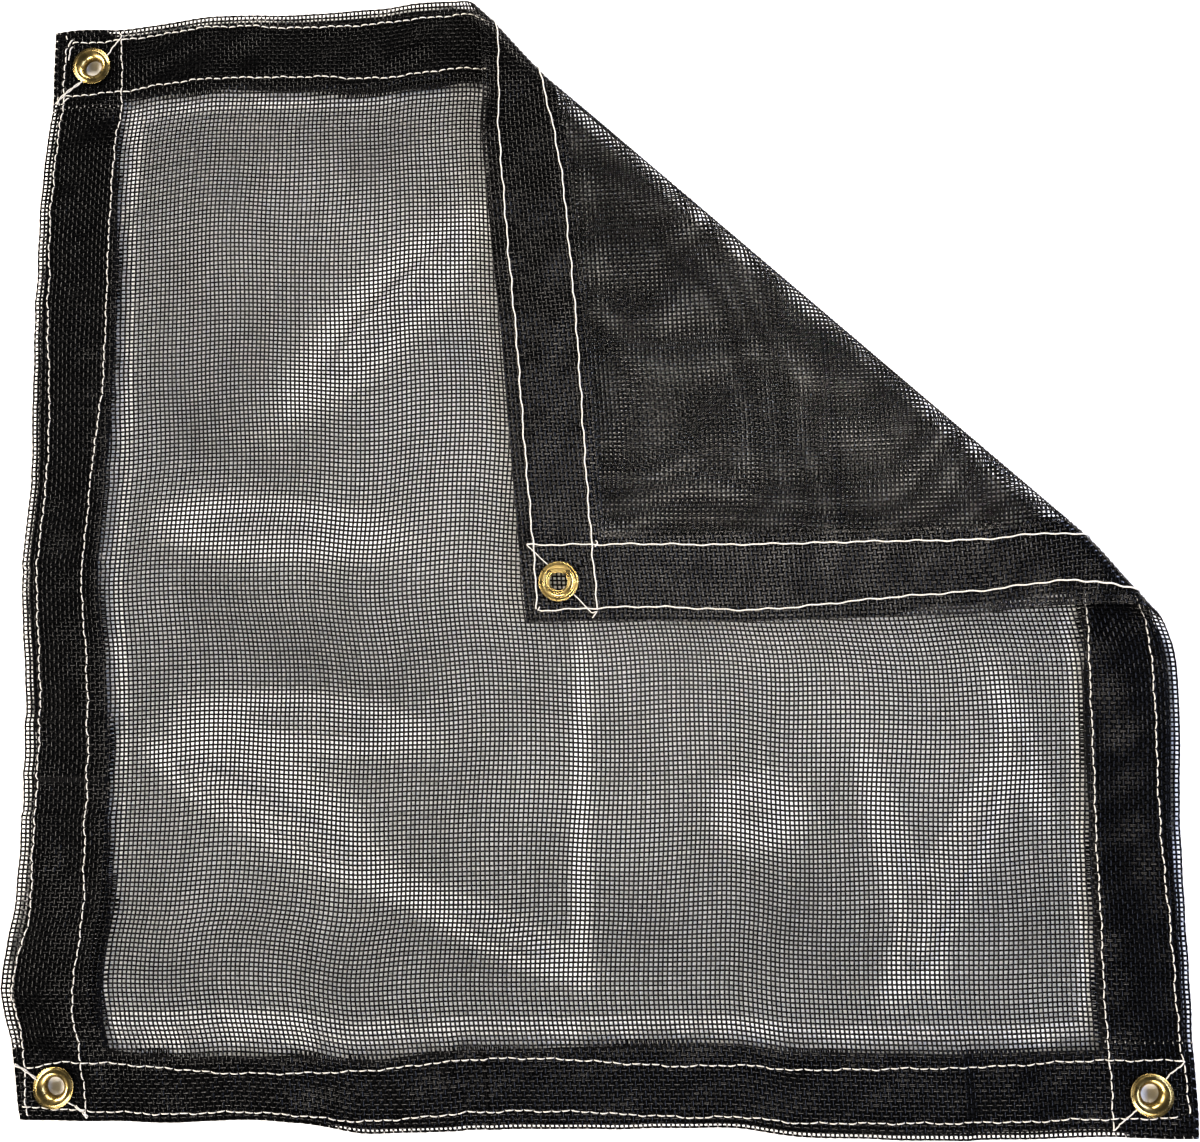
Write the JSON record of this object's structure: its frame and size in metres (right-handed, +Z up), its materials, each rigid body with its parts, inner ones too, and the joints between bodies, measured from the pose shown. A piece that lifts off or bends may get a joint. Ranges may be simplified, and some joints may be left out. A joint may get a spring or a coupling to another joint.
{
  "type": "mesh tarp",
  "caption": "Black open-weave mesh tarp with a webbed, stitched hem and brass corner grommets, lying flat with one corner folded over.",
  "frame": {"origin": "centre of the lying tarp's bounding box, on the surface that it lies on", "axes": "+Z up; +Y from the bottom hem towards the top hem; +X from the left hem towards the right hem"},
  "size_m": [0.627, 0.6248, 0.014],
  "materials": {
    "mesh": "black PVC-coated polyester yarn in an open plain weave, satin",
    "hem": "two layers of the black mesh over a black webbing, nearly opaque, satin specks",
    "thread": "off-white twisted polyester sewing thread",
    "brass": "polished stamped brass"
  },
  "bodies": {
    "root": {"mesh_panel": "mesh", "hem_bottom": "hem", "hem_top": "hem", "hem_left": "hem", "hem_right": "hem", "grommet_tl": "brass", "grommet_bl": "brass", "grommet_br": "brass", "grommet_flap": "brass", "washer_tl": "brass", "washer_bl": "brass", "washer_br": "brass", "washer_flap": "brass"}
  },
  "joints": []
}
